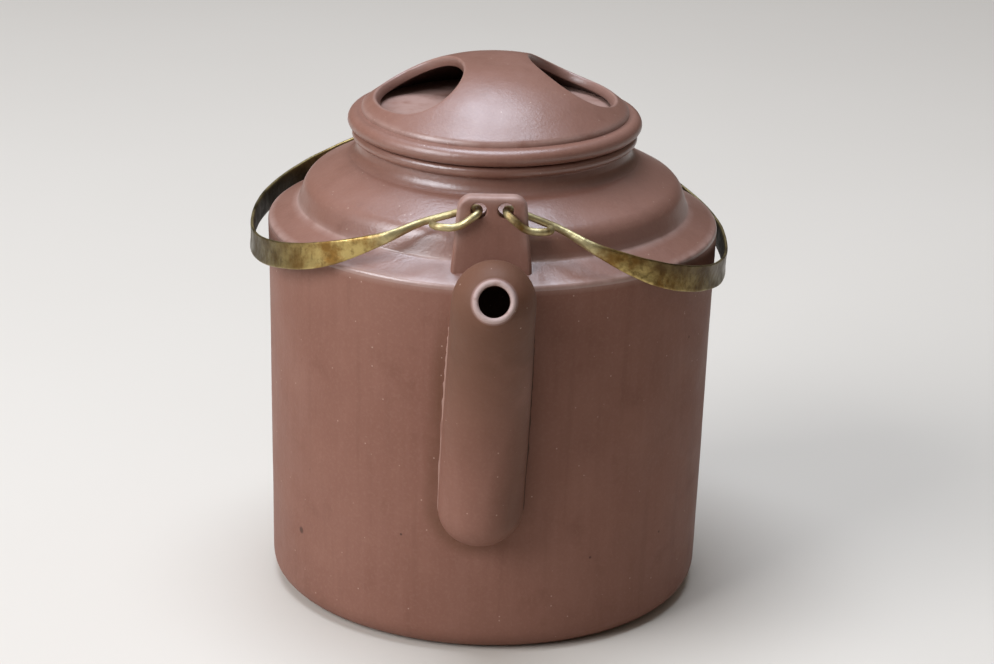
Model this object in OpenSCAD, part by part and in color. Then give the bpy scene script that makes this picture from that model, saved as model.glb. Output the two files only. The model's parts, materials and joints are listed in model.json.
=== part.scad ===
// Stoneware teapot with a loose finger-hole lid, a stub spout and two brass bail handles.
// Millimetres. The pot stands on Z = 0 about the Z axis, and its spout faces -Y.

/* [Body] */
// Diameter of the pot at the edge of the shoulder
body_d = 130; // [124:1:138]
// How far the wall draws in from the shoulder's edge to the foot
foot_taper = 2; // [0:0.25:4]
// Height of the shoulder's edge above the table
wall_h = 110; // [100:1:125]
// Thickness of the wall
wall_t = 4; // [3:0.25:5]
// Thickness of the base slab
base_t = 5; // [4:0.25:7]
// Radius of the rounded foot
foot_round = 7; // [4:0.5:9]

/* [Shoulder] */
// Thickness of the shoulder
shoulder_t = 4.2; // [3:0.1:5]
// Height of the plain rim under the shoulder's edge
rim_h = 1.2; // [0.8:0.1:2]
// Width of the sloping ring from the edge in to the crease
ring_w = 8.6; // [7.5:0.1:10]
// Rise of the sloping ring from the edge to the crease
ring_rise = 4.4; // [3:0.1:5.5]
// How far the dome's flank leans in above the crease
flank_lean = 2.4; // [1:0.2:4]
// Height of the dome's flank above the crease
flank_h = 7.2; // [5:0.1:9]
// Radius between the dome's flank and its roof
dome_round = 7; // [3:0.5:9]
// Rise of the dome's roof from its flank to the neck
roof_rise = 7.7; // [5:0.1:10]
// Radius of the hollow at the foot of the neck
neck_hollow = 4; // [2:0.25:5]

/* [Neck and mouth] */
// Inside diameter of the neck and mouth
mouth_bore_d = 72; // [64:0.5:78]
// Thickness of the neck
neck_t = 3.6; // [3:0.1:5]
// Height of the neck from its foot to the mouth ring
neck_h = 4.1; // [3.6:0.1:8]
// How far the rolled mouth ring stands out from the neck
mouth_lip = 1.4; // [0.8:0.1:3]
// Height of the mouth ring
mouth_h = 3.2; // [2.6:0.1:4]

/* [Lid] */
// How far the lid's rolled rim stands out from the mouth ring
lid_lip = 1.3; // [0.5:0.1:3]
// Width of the lid's rolled rim
lid_rim_w = 4.5; // [4:0.1:7]
// Height of the lid's rolled rim
lid_rim_h = 6.2; // [5.4:0.1:8]
// Thickness of the lid's plate
lid_plate_t = 4; // [3:0.25:5]
// Height of the lid's dome above its rim
lid_dome_h = 13.5; // [11:0.5:18]
// Thickness of the lid's dome
lid_dome_t = 3; // [2.4:0.1:4]
// Height of the dome's upright foot above the rim
lid_foot_h = 0.6; // [0.2:0.1:2]
// Diameter of the flatter crown of the lid
crown_d = 41; // [34:1:44]
// Depth of the flange that drops into the mouth
flange_h = 8; // [5:0.5:14]
// Thickness of the flange
flange_t = 3.4; // [2.5:0.1:4.5]
// Width of the bridge between the two finger openings
bridge_w = 20.5; // [18:0.5:26]
// Length of a finger opening along the bridge
opening_l = 39.5; // [28:0.5:40]
// Rim left outside a finger opening
opening_rim = 3; // [1:0.1:4]
// Diameter of the steam hole in the lid's plate
vent_d = 3; // [2:0.25:5]
// Turn of the lid about its axis
lid_turn = 12; // [0:1:180]

/* [Spout] */
// How far the spout's mouth stands out from the shoulder's edge
spout_out = 32; // [30:0.5:40]
// Height of the centre of the spout's mouth above the shoulder's edge
spout_mouth_rise = 7; // [0:0.5:12]
// Height of the spout's lowest point above the table
spout_foot_z = 33.5; // [20:0.5:45]
// Outside diameter of the spout's nose
spout_d = 22.6; // [20:0.2:24]
// Outside diameter of the spout's leg at its foot
spout_foot_d = 23.8; // [20:0.2:26]
// Thickness of the spout's wall
spout_t = 3.4; // [2.6:0.1:4]
// Angle of the nose of the spout above the level
spout_rise = 20; // [10:1:35]
// How far the spout's front leans out halfway up, before it turns to the lip
spout_lean = 3; // [1:0.5:6]
// Outside diameter of the spout's lip
lip_d = 12.2; // [11:0.1:14]
// Diameter of the hole in the spout's lip
spout_bore_d = 8.4; // [6:0.1:9]
// Diameter of a strainer hole in the wall behind the spout
strainer_d = 4; // [3:0.25:5]
// Distance between neighbouring strainer holes in a row
strainer_pitch = 7; // [6:0.25:8]

/* [Ears] */
// How far an ear's outer face stands inside the shoulder's edge
ear_inset = 5; // [4:0.25:6]
// Thickness of an ear
ear_t = 4.5; // [3.5:0.25:6]
// Width of an ear at its top
ear_top_w = 18.6; // [16:0.2:21]
// Width of an ear at its foot
ear_foot_w = 23; // [21:0.5:26]
// Height of an ear above the crease
ear_h = 19.8; // [17:0.2:24]
// Radius of an ear's top corners
ear_round = 4; // [2:0.25:6]
// Diameter of the holes in an ear
ear_hole_d = 4.4; // [4:0.1:5]
// Distance between the centres of an ear's holes
ear_hole_gap = 7.4; // [7:0.1:9]
// Distance of the holes' centres below the ear's top
ear_hole_drop = 3.9; // [3.5:0.1:6]

/* [Bails] */
// Diameter of a bail's wire
wire_d = 1.9; // [1.5:0.1:2.2]
// Width of a bail's flattened grip
grip_w = 7.4; // [6:0.2:9]
// Thickness of the flattened grip
grip_t = 1.1; // [0.8:0.1:1.5]
// Lean of the flattened grip off the square to its bail
grip_lean = 19; // [10:1:24]
// Distance from the hinge at which the wire starts to widen
grip_start = 15; // [14:1:24]
// Length over which the wire widens into the grip
grip_taper = 37; // [30:1:42]
// Length of a bail from its hinge to its middle, beyond the radius of the pot
bail_out = 3.5; // [3:0.1:8]
// How far a bail bows out past its eyes
bail_bow = 5.2; // [5:0.2:8]
// Squareness of a bail's curve, where 2 is an ellipse
bail_power = 2.4; // [2.4:0.1:3]
// Length of the eye at each end of a bail
eye_l = 13.3; // [12:0.1:16]
// Sag of the outer run of an eye
eye_sag = 1.6; // [0:0.1:2.5]

/* [Fits] */
// Play all round between the lid's flange and the mouth
lid_play = 0.6; // [0.4:0.1:1]
// Gap between the lid's rim and the mouth ring
lid_seat = 0.3; // [0.2:0.05:0.5]
// Gap between a bail's wire and the bottom of its hole
wire_seat = 0.4; // [0.35:0.05:0.6]
// Gap under the left bail where it crosses the shoulder's edge
left_rest = 2.8; // [0.3:0.1:5]
// Gap under the right bail where it crosses the shoulder's edge
right_rest = 0.3; // [0.3:0.1:5]
// Play between a bail's eye and each face of its ear
eye_play = 0.7; // [0.5:0.05:1.2]

/* [Hidden] */
$fn = 96;
clay = "#7a5149";
brass = "#a98d48";

// Corners and curves
edge_round = 0.8;
crease_round = 0.8;
inner_round = 2;
least_round = 1;
roll_share = 0.48;
arc_steps = 7;
crown_round = 45;
crown_share = 0.85;
lid_foot_round = 3;
oval_steps = 48;
cut_margin = 5;

// Heights and radii of the pot
body_r = body_d / 2;
foot_r = body_r - foot_taper;
base_inset = 1;
base_r = foot_r - foot_round - base_inset;
crease_r = body_r - ring_w;
dome_r = crease_r - flank_lean;
bore_r = mouth_bore_d / 2;
neck_r = bore_r + neck_t;
mouth_r = neck_r + mouth_lip;
seam_z = wall_h - rim_h;
crease_z = wall_h + ring_rise;
flank_z = crease_z + flank_h;
neck_z = flank_z + roof_rise;
mouth_z = neck_z + neck_h;
neck_seam_drop = 1;
neck_seam_z = neck_z - neck_seam_drop;
roof_share = 0.8;
roof_drop = shoulder_t * roof_share;

// Heights and radii of the lid
lid_z = mouth_z + mouth_h + lid_seat;
lid_r = mouth_r + lid_lip;
lid_rim_z = lid_z + lid_rim_h;
lid_plate_z = lid_z + lid_plate_t;
lid_dome_r = lid_r - lid_rim_w;
lid_foot_z = lid_rim_z + lid_foot_h;
lid_top_z = lid_rim_z + lid_dome_h;
crown_r = crown_d / 2;
flange_r = bore_r - lid_play;
opening_inner = bridge_w / 2;
opening_outer = lid_dome_r - opening_rim;
opening_sill = 0.8;

// Lines of the spout: its back in the wall, its front, and a nose that points along nose_way
spout_r = spout_d / 2;
spout_foot_r = spout_foot_d / 2;
lip_r = lip_d / 2;
leg_y = body_r;
leg_z = spout_foot_z + spout_foot_r;
nose_way = [0, -cos(spout_rise), sin(spout_rise)];
nose_up = [0, sin(spout_rise), cos(spout_rise)];
lip_depth = sqrt(spout_r * spout_r - lip_r * lip_r);
lip_angle = acos(lip_r / spout_r);
lip_mid = [0, -leg_y - spout_out, wall_h + spout_mouth_rise];
tip_mid = lip_mid - lip_depth * nose_way;
tip_back = tip_mid + spout_r * nose_up;
back_foot = [0, spout_foot_r - leg_y, leg_z];
back_corner = [0, back_foot.y, tip_back.z - (back_foot.y - tip_back.y) * tan(spout_rise)];
back_pull = 0.76;
front_foot = [0, -leg_y - spout_foot_r, leg_z];
front_lip = lip_mid - lip_r * nose_up;
front_knee = [0, front_foot.y - spout_lean, (front_foot.z + front_lip.z) / 2];
tip_share = 0.86;
hollow_share = 0.97;
spout_sides = 40;
cap_steps = 6;
cap_angle = 76;
leg_steps = 11;
strainer_z = leg_z + spout_d;
strainer_row = 0.8;
strainer_step = strainer_pitch * strainer_row;

// Places of the ears and of the bails' hinge lines
ear_y = body_r - ear_inset;
ear_mid_y = ear_y - ear_t / 2;
ear_top_z = crease_z + ear_h;
ear_hole_z = ear_top_z - ear_hole_drop;
wire_r = wire_d / 2;
hinge_x = ear_hole_gap / 2;
hinge_z = ear_hole_z - (ear_hole_d - wire_d) / 2 + wire_seat;

// Shape of a bail in its own plane: X out from the hinge, Y along it, Z square to the plane
eye_half = ear_t / 2 + eye_play + wire_r;
eye_round = 2.4;
eye_mid = eye_l - eye_half;
eye_tip_angle = 32;
eye_tip_steps = 6;
eye_steps = 4;
arm_y = ear_mid_y - eye_half;
bail_half = arm_y + bail_bow;
bail_reach = body_r + bail_out;
edge_share = 0.56;
bow_l = 15;
arch_start = 5;
arch_steps = 26;
wire_sides = 12;
grip_square = 0.55;
pin_extra = 0.05;
pin_gap = 0.4;

// Unit vector along v
function unit(v) = v / norm(v);

// Eases from 0 to 1 as x runs from 0 to 1
function ease(x) = let (t = min(max(x, 0), 1)) (1 - cos(180 * t)) / 2;

// Power that keeps the sign of its base
function signed_pow(x, p) = sign(x) * pow(abs(x), p);

// The shorter way round from one angle to another
function turn_between(from, to) = let (d = to - from) d > 180 ? d - 360 : d < -180 ? d + 360 : d;

// Arc of the given radius in the corner q of the outline p, q, s
function corner_arc(p, q, s, radius) =
    let (
        u = unit(p - q),
        v = unit(s - q),
        half = acos(u * v) / 2,
        mid = q + unit(u + v) * radius / sin(half),
        first = q + u * radius / tan(half) - mid,
        last = q + v * radius / tan(half) - mid,
        start = atan2(first.y, first.x),
        turn = turn_between(start, atan2(last.y, last.x))
    )
    [for (i = [0:arc_steps]) let (a = start + turn * i / arc_steps) mid + radius * [cos(a), sin(a)]];

// Open outline through corners given as [radius from the axis, height, rounding]
function rounded(corners) = [
    for (i = [0:len(corners) - 1])
        let (c = corners[i], q = [c.x, c.y])
        each c.z == 0
            ? [q]
            : corner_arc(
                [corners[i - 1].x, corners[i - 1].y],
                q,
                [corners[i + 1].x, corners[i + 1].y],
                c.z
            )
];

// Outline of the pot's outside, from the base slab up to the mouth ring
pot_outside = rounded([
    [base_r, 0, 0],
    [foot_r, 0, foot_round],
    [body_r, wall_h, edge_round],
    [crease_r, crease_z, crease_round],
    [dome_r, flank_z, dome_round],
    [neck_r, neck_z, neck_hollow],
    [neck_r, mouth_z, 0]
]);

// Outline of the pot's inside, from the mouth ring down to the base slab
pot_inside = rounded([
    [bore_r, mouth_z, 0],
    [bore_r, neck_z - roof_drop, inner_round],
    [dome_r - shoulder_t, flank_z - roof_drop, inner_round],
    [crease_r - shoulder_t, seam_z, 0],
    [body_r - wall_t, seam_z, 0],
    [foot_r - wall_t, base_t, inner_round],
    [base_r, base_t, 0]
]);

// Half profile of the lid's dome, drawn in from its outer face by inset
function dome_outline(inset) =
    let (
        foot = [lid_dome_r - inset, lid_foot_z - inset / 2],
        crown = [crown_r, lid_top_z - inset],
        slope = crown - foot,
        room = crown_share * norm(slope) / tan(atan2(slope.y, -slope.x) / 2)
    )
    concat(
        [[0, lid_plate_z]],
        rounded([
            [foot.x, lid_plate_z, 0],
            [foot.x, foot.y, max(lid_foot_round - inset, least_round)],
            [crown.x, crown.y, min(crown_round - inset, room)],
            [0, crown.y, 0]
        ])
    );

// Ring of the pot's wall between two heights
module pot_band(z_low, z_high) {
    rotate_extrude()
        intersection() {
            polygon(concat(pot_outside, pot_inside));
            translate([0, z_low]) square([body_d, z_high - z_low]);
        }
}

// The whole outside of the pot as one filled mass
module pot_mass() {
    rotate_extrude() polygon(concat([[0, 0]], pot_outside, [[0, mouth_z]]));
}

// Ring with a rolled outer edge
module rolled_ring(inner_r, outer_r, z_low, height) {
    roll = height * roll_share;
    rotate_extrude()
        polygon(rounded([
            [inner_r, z_low, 0],
            [outer_r, z_low, roll],
            [outer_r, z_low + height, roll],
            [inner_r, z_low + height, 0]
        ]));
}

// Closed skin over a row of rings that each have the same number of points
module skin(rings) {
    sides = len(rings[0]);
    last = len(rings) - 1;
    walls = [
        for (i = [0:last - 1], j = [0:sides - 1])
            let (a = i * sides + j, b = i * sides + (j + 1) % sides)
            each [[a, a + sides, b], [b, a + sides, b + sides]]
    ];
    ends = [
        for (j = [1:sides - 2])
            each [[0, j, j + 1], [last * sides, last * sides + j + 1, last * sides + j]]
    ];
    polyhedron(points = [for (ring = rings) each ring], faces = concat(walls, ends), convexity = 8);
}

// Point of a smooth curve that starts at the first of its guide points and ends at the last
function curve(guides, t) =
    len(guides) == 1
        ? guides[0]
        : curve([for (i = [0:len(guides) - 2]) guides[i] + (guides[i + 1] - guides[i]) * t], t);

// Ring of the spout between a point of its back and one of its front, drawn in by inset
function spout_ring(back, front, half_w, inset) =
    let (
        mid = (back + front) / 2,
        way = unit(front - back),
        half_l = norm(front - back) / 2 - inset,
        w = half_w - inset,
        bow = min(w, half_l)
    )
    [for (j = [0:spout_sides - 1])
        let (a = 360 * (j + 0.5) / spout_sides)
        mid + [w * cos(a), 0, 0] - way * (bow * sin(a) + sign(sin(a)) * (half_l - bow))];

// Rings of the spout from its round foot to a share of the way along its tip, drawn in by inset
function spout_rings(inset, tip_end) =
    let (
        front_line = [front_foot, front_knee, front_lip],
        back_line = [back_foot, back_corner, tip_back + back_pull * (back_corner - tip_back), tip_back]
    )
    concat(
        [for (i = [0:cap_steps - 1])
            let (
                a = cap_angle * (i / cap_steps - 1),
                r = spout_foot_r - inset,
                low = [0, 0, r * sin(a)],
                in = [0, r * (1 - cos(a)), 0]
            )
            spout_ring(back_foot + low - in, front_foot + low + in, r * cos(a) + inset, inset)],
        [for (i = [0:leg_steps - 1])
            let (t = i / leg_steps)
            spout_ring(
                curve(back_line, t),
                curve(front_line, tip_share * t),
                spout_foot_r + (spout_r - spout_foot_r) * t,
                inset
            )],
        [for (i = [0:cap_steps])
            let (t = tip_end * i / cap_steps, a = lip_angle * t)
            spout_ring(
                tip_mid + spout_r * (sin(a) * nose_way + cos(a) * nose_up),
                curve(front_line, tip_share + (1 - tip_share) * t),
                spout_r * cos(a),
                inset
            )]
    );

// Outside of the spout, cut off square at its lip
module spout_mass() {
    skin(spout_rings(0, 1));
}

// Hole through the spout's lip
module spout_bore() {
    translate(lip_mid)
        rotate([90 - spout_rise, 0, 0])
            translate([0, 0, -lip_depth]) cylinder(h = lip_depth + cut_margin, d = spout_bore_d);
}

// Plate of an ear before its foot is fitted to the shoulder
module ear_plate() {
    outline = rounded([
        [-ear_foot_w / 2, wall_h, 0],
        [-ear_top_w / 2, ear_top_z, ear_round],
        [ear_top_w / 2, ear_top_z, ear_round],
        [ear_foot_w / 2, wall_h, 0]
    ]);
    translate([0, ear_t - ear_y, 0])
        rotate([90, 0, 0]) linear_extrude(height = ear_t) polygon(outline);
}

// Ear above the spout, fitted to the shoulder and bored for both bails
module ear() {
    difference() {
        ear_plate();
        pot_mass();
        spout_mass();
        for (side = [-1, 1])
            translate([side * hinge_x, -ear_y - cut_margin, ear_hole_z])
                rotate([-90, 0, 0]) cylinder(h = ear_t + 2 * cut_margin, d = ear_hole_d);
    }
}

// Outline of one finger opening
function finger_oval() =
    let (
        mid = (opening_inner + opening_outer) / 2,
        half_w = (opening_outer - opening_inner) / 2
    )
    [for (i = [0:oval_steps - 1])
        let (a = 360 * i / oval_steps)
        [mid + half_w * cos(a), opening_l / 2 * sin(a)]];

// Share of the way from round wire to flat grip at a distance from the hinge
function flatness(x) = ease((x - grip_start) / grip_taper);

// Depth of a bail below the middle of its wire at a distance from the hinge
function bail_depth(x) = wire_r + (grip_w - wire_d) * flatness(x);

// Angle below the level at which a bail crosses the shoulder's edge with a gap under it
function droop(gap) =
    let (cross_x = edge_share * bail_reach)
    asin((hinge_z - wall_h - gap - bail_depth(cross_x)) / cross_x);

// Distance of a bail's curve from its middle line, at a distance x from the hinge
function arch_y(x) =
    bail_half * pow(max(1 - pow(x / bail_reach, bail_power), 0), 1 / bail_power)
    - bail_bow * (1 - ease((x - eye_l) / bow_l));

// Points of a bail's outer eye run, which sags between the hole and the tip
function sagged(x, v) = [x, -ear_mid_y + v, -eye_sag * (1 - cos(360 * min(x / eye_l, 1))) / 2];

// Wire from the tip of one eye to the middle of the bail
function half_bail() = concat(
    [for (i = [0:eye_tip_steps]) let (a = eye_tip_angle - (eye_tip_angle + 90) * i / eye_tip_steps)
        sagged(eye_mid + eye_half * cos(a), eye_half * sin(a))],
    [for (i = [1:eye_steps]) sagged(eye_mid + (eye_round - eye_mid) * i / eye_steps, -eye_half)],
    [for (i = [1:eye_steps]) let (a = 270 - 90 * i / eye_steps)
        sagged(eye_round + eye_round * cos(a), eye_round - eye_half + eye_round * sin(a))],
    [for (i = [0:eye_steps]) let (a = 180 - 90 * i / eye_steps)
        [eye_round + eye_round * cos(a), eye_half - eye_round - ear_mid_y + eye_round * sin(a), 0]],
    [for (i = [0:arch_steps])
        let (
            first = asin(pow(arch_start / bail_reach, bail_power / 2)),
            x = bail_reach * pow(sin(first + (90 - first) * i / arch_steps), 2 / bail_power)
        )
        [x, -arch_y(x), 0]]
);

// Wire from eye to eye
function bail_wire() =
    let (half = half_bail(), n = len(half))
    concat(half, [for (i = [n - 2:-1:0]) [half[i].x, -half[i].y, half[i].z]]);

// Cross section of a bail at one point of its wire, running along a direction
function bail_ring(p, along) =
    let (
        flat = p.x > arch_start ? flatness(p.x) : 0,
        on_arch = abs(p.y) < ear_mid_y ? flat : 0,
        up = unit([0, 0, 1] - along * along.z),
        out = cross(along, up),
        lean = grip_lean * on_arch,
        wide = sin(lean) * out - cos(lean) * up,
        thick = cross(along, wide),
        half_w = wire_r + (grip_w / 2 - wire_r) * on_arch,
        half_t = wire_r + (grip_t / 2 - wire_r) * on_arch,
        power = 1 + (grip_square - 1) * on_arch,
        mid = p + up * wire_r + wide * half_w
    )
    [for (j = [0:wire_sides - 1])
        let (a = 360 * (j + 0.5) / wire_sides)
        mid + wide * half_w * signed_pow(cos(a), power) + thick * half_t * signed_pow(sin(a), power)];

// One bail, with its hinge line along Y through the origin
module bail() {
    wire = bail_wire();
    last = len(wire) - 1;
    skin([
        for (i = [0:last])
            bail_ring(wire[i], unit(wire[min(i + 1, last)] - wire[max(i - 1, 0)]))
    ]);
    pin_l = 2 * (eye_half - eye_round) - pin_gap;
    for (end = [-1, 1])
        translate([0, end * ear_mid_y - pin_l / 2, 0])
            rotate([-90, 0, 0]) cylinder(h = pin_l, r = wire_r + pin_extra);
}

// Round slab that closes the bottom of the pot
module base_slab() {
    color(clay) cylinder(h = base_t, r = base_r);
}

// Half of the wall's strip, on the side of the spout
module half_wall() {
    intersection() {
        pot_band(0, seam_z);
        translate([-body_d / 2, -body_d, 0]) cube([body_d, body_d, wall_h]);
    }
}

// Front half of the wall, with strainer holes behind the spout
module front_wall() {
    color(clay)
        difference() {
            half_wall();
            for (row = [-2:2], side = row % 2 == 0 ? [-0.5, 0.5] : [0])
                translate([side * strainer_pitch, -body_r - cut_margin, strainer_z + row * strainer_step])
                    rotate([-90, 0, 0]) cylinder(h = wall_t + 4 * cut_margin, d = strainer_d);
        }
}

// Rear half of the wall
module rear_wall() {
    color(clay) rotate([0, 0, 180]) half_wall();
}

// Sloping ring and dome that close the top of the wall
module shoulder() {
    color(clay) pot_band(seam_z, neck_seam_z);
}

// Short neck that stands on the shoulder
module neck_collar() {
    color(clay) pot_band(neck_seam_z, mouth_z);
}

// Rolled ring round the mouth
module mouth_ring() {
    color(clay) rolled_ring(bore_r, mouth_r, mouth_z, mouth_h);
}

// Hollow spout, fitted to the wall and the shoulder
module spout() {
    color(clay)
        difference() {
            spout_mass();
            skin(spout_rings(spout_t, hollow_share));
            spout_bore();
            pot_mass();
        }
}

// Ear that carries the bails above the spout
module front_ear() {
    color(clay) ear();
}

// Ear that carries the bails at the back
module rear_ear() {
    color(clay) rotate([0, 0, 180]) ear();
}

// Flat floor of the lid, with its steam hole
module lid_plate() {
    color(clay)
        difference() {
            translate([0, 0, lid_z]) cylinder(h = lid_plate_t, r = lid_dome_r);
            translate([0, 0, lid_z - cut_margin]) cylinder(h = lid_plate_t + 2 * cut_margin, d = vent_d);
        }
}

// Rolled rim round the lid's plate and the foot of its dome
module lid_rim() {
    color(clay) rolled_ring(lid_dome_r, lid_r, lid_z, lid_rim_h);
}

// Hollow dome with two finger openings and the bridge between them
module lid_dome() {
    color(clay)
        difference() {
            rotate_extrude()
                difference() {
                    polygon(dome_outline(0));
                    polygon(dome_outline(lid_dome_t));
                }
            for (side = [0, 180])
                rotate([0, 0, lid_turn + side])
                    translate([0, 0, lid_rim_z + opening_sill])
                        linear_extrude(height = lid_dome_h) polygon(finger_oval());
        }
}

// Flange that locates the lid in the mouth
module lid_flange() {
    color(clay)
        translate([0, 0, lid_z - flange_h])
            difference() {
                cylinder(h = flange_h, r = flange_r);
                translate([0, 0, -cut_margin])
                    cylinder(h = flange_h + 2 * cut_margin, r = flange_r - flange_t);
            }
}

// Bail that lies round the left side of the shoulder
module left_bail() {
    color(brass)
        translate([-hinge_x, 0, hinge_z])
            mirror([1, 0, 0]) rotate([0, droop(left_rest), 0]) bail();
}

// Bail that lies round the right side of the shoulder
module right_bail() {
    color(brass) translate([hinge_x, 0, hinge_z]) rotate([0, droop(right_rest), 0]) bail();
}

base_slab();
front_wall();
rear_wall();
shoulder();
neck_collar();
mouth_ring();
spout();
front_ear();
rear_ear();
lid_plate();
lid_rim();
lid_dome();
lid_flange();
left_bail();
right_bail();
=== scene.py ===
import json
import math

import bmesh
import bpy
import numpy as np
from mathutils import Matrix, Vector, geometry, noise

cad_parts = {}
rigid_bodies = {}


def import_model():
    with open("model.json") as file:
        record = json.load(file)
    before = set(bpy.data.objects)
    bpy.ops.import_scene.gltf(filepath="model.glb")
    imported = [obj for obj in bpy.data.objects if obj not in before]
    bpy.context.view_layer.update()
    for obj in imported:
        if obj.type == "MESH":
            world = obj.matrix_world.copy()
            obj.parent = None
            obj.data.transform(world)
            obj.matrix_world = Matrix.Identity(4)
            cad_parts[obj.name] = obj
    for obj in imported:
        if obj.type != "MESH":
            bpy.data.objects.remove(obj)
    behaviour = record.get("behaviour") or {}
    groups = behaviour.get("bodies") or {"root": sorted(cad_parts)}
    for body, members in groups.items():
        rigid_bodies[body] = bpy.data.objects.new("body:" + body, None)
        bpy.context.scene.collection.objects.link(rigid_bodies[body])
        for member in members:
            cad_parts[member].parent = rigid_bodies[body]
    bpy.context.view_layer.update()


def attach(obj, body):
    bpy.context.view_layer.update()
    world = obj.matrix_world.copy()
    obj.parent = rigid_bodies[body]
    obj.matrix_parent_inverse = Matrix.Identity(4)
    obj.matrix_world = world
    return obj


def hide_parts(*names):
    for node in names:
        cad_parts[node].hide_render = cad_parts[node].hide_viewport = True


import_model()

# Sizes are in millimetres and become metres when a mesh is made. X is right, -Y towards the
# spout and Z up, from the middle of the pot's foot.
MM = 0.001
TINY = 1e-6

# Pot, from its foot up to the mouth ring
BODY_R, FOOT_R, BASE_R = 65.0, 63.0, 55.0
WALL_H, SEAM_Z, BASE_T, WALL_T = 110.0, 108.8, 5.0, 4.0
CREASE_R, CREASE_Z = 56.4, 114.4
DOME_R, FLANK_Z = 54.0, 121.6
NECK_R, NECK_Z, NECK_SEAM_Z = 39.6, 129.3, 128.3
BORE_R, MOUTH_R, MOUTH_Z, MOUTH_H = 36.0, 41.0, 133.4, 3.2
ROOF_DROP, SHOULDER_T = 3.36, 4.2
FOOT_ROUND, RIM_ROUND, CREASE_ROUND, FLANK_ROUND, NECK_ROUND = 7.0, 1.3, 1.5, 7.0, 4.0
INSIDE_ROUND, MOUTH_ROLL, MOUTH_EDGE = 2.0, 1.5, 0.3
GROOVE_H, GROOVE_DEPTH, GROOVE_TOP_DEPTH, GROOVE_ROUND = 0.6, 0.7, 0.5, 0.3
RIM_RUB, CREASE_RUB = 2.2, 1.1
WALL_PIT = (-52.7, -35.3, 24.5)

# Lid
LID_Z, LID_R, LID_RIM_H, LID_PLATE_T = 136.9, 42.3, 4.9, 5.0
LID_RIM_LOW_ROUND, LID_RIM_HIGH_ROUND, LID_RIM_END_ROUND = 2.1, 2.6, 0.5
LID_RIM_BEHIND, LID_RIM_AHEAD = 1.4, 0.5
LID_DOME_R, LID_TOP_Z, LID_FOOT_Z, LID_FOOT_ROUND = 38.5, 156.6, 142.9, 1.0
CROWN_R, CROWN_ROUND, LID_DOME_T = 20.5, 45.0, 3.0
FLANGE_R, FLANGE_T, FLANGE_H, FLANGE_ROUND = 35.4, 3.4, 8.0, 0.8
OPEN_IN, OPEN_OUT, OPEN_HALF = 10.25, 34.8, 19.75
OPEN_ROUND, OPEN_BACK_ROUND, OPEN_CLEAR = 0.7, 0.4, 0.8
LID_TURN, VENT_R = 12.0, 1.5
# Painted light on the lid plate: its middle as a share of the dome's radius, and its reach
PLATE_LIGHT_SHARE, PLATE_LIGHT_REACH = 0.6, 60.0
DOME_RUB, DOME_FOOT_RUB, DOME_FOOT_RUB_MOST, DOME_FOOT_REACH = 0.5, 1.6, 1.2, 0.9

# Spout
SPOUT_FOOT_R, SPOUT_R, SPOUT_RISE, SPOUT_LEAN = 11.9, 11.3, 20.0, 3.0
LEG_Y, LEG_Z, SPOUT_OUT, SPOUT_MOUTH_Z = -65.0, 45.4, 32.0, 117.0
LIP_R, SPOUT_BORE_R, LIP_AHEAD = 6.1, 4.2, 0.3
LIP_START, LIP_SWEEP = -20.0, 200.0
SPOUT_TOE, TOE_SWEEP, SPOUT_SKEW_LOW, SPOUT_SKEW_HIGH = 10.6, 88.0, -1.6, 1.0
BACK_PULL, TIP_SHARE, NOSE_SHARE = 0.76, 0.86, 0.97
SPOUT_SINK, SPOUT_FLARE = 1.2, 0.7
STRAINER_R, STRAINER_PITCH, STRAINER_ROW, STRAINER_Z = 2.0, 7.0, 5.6, 68.0

# Marks of the spout: pale lip, and painted shade on its upper front and right side and on the wall
# beside it
LIP_PALE_ALONG, LIP_PALE_R, LIP_PALE_REACH = 0.7, 4.9, 1.3
LIP_BACK, LIP_EDGE = -0.6, 0.2
TOP_SHADE_Z, TOP_SHADE_Y = (58.0, 98.0), (-66.0, -74.0)
SHADE_X, SHADE_Y, SHADE = (1.0, 8.0), (-60.0, -66.0), 0.65
SPOUT_SHADE_OUT, SPOUT_SHADE_REACH, SPOUT_SHADE_Z, SPOUT_SHADE = 1.0, 4.0, (108.0, 88.0), 0.9
SPOUT_SHADE_SIDE, SPOUT_SHADE_MID, SPOUT_SHADE_LEAST = 8.0, 0.6, 0.3

# Ears
EAR_Y, EAR_T, EAR_TOP_Z, EAR_FOOT_Z = 60.0, 4.5, 134.2, 109.2
EAR_TOP_HALF, EAR_FOOT_HALF, EAR_ROUND, EAR_FOOT_ROUND = 9.3, 11.5, 4.0, 1.6
EAR_HOLE_R, EAR_HOLE_Z, HINGE_X = 2.2, 130.3, 3.7
EAR_EDGE, EAR_HOLE_EDGE = 1.15, 0.4
EAR_TOP_RUB, EAR_SIDE_RUB, EAR_SIDE_RUB_Z, EAR_SIDE_SHARE = 2.4, 1.6, (118.0, 126.0), 0.7

# Bails
WIRE_R, GRIP_W, GRIP_T, GRIP_LEAN = 1.05, 7.4, 1.1, 19.0
GRIP_START, GRIP_TAPER, GRIP_POWER, GRIP_HOLLOW = 15.0, 37.0, 0.42, 0.35
BEAT, BEAT_RATE, END_CAPS = 0.14, 0.11, (0.55, 0.88)
EAR_MID, EYE_HALF, EYE_L, EYE_ROUND, EYE_SAG, EYE_TIP = 57.75, 3.9, 13.3, 2.4, 1.6, 32.0
BAIL_REACH, BAIL_BOW, BAIL_POWER, BOW_L, ARCH_X = 68.5, 5.2, 2.4, 15.0, 5.0
HINGE_Z, LEFT_DROOP, RIGHT_DROOP = 129.45, 17.96, 21.93
LEFT_TARNISH, RIGHT_TARNISH = 0.15, 1.0
TARNISH_LOW, TARNISH_FAR = 0.45, (0.3, 0.65)

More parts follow.
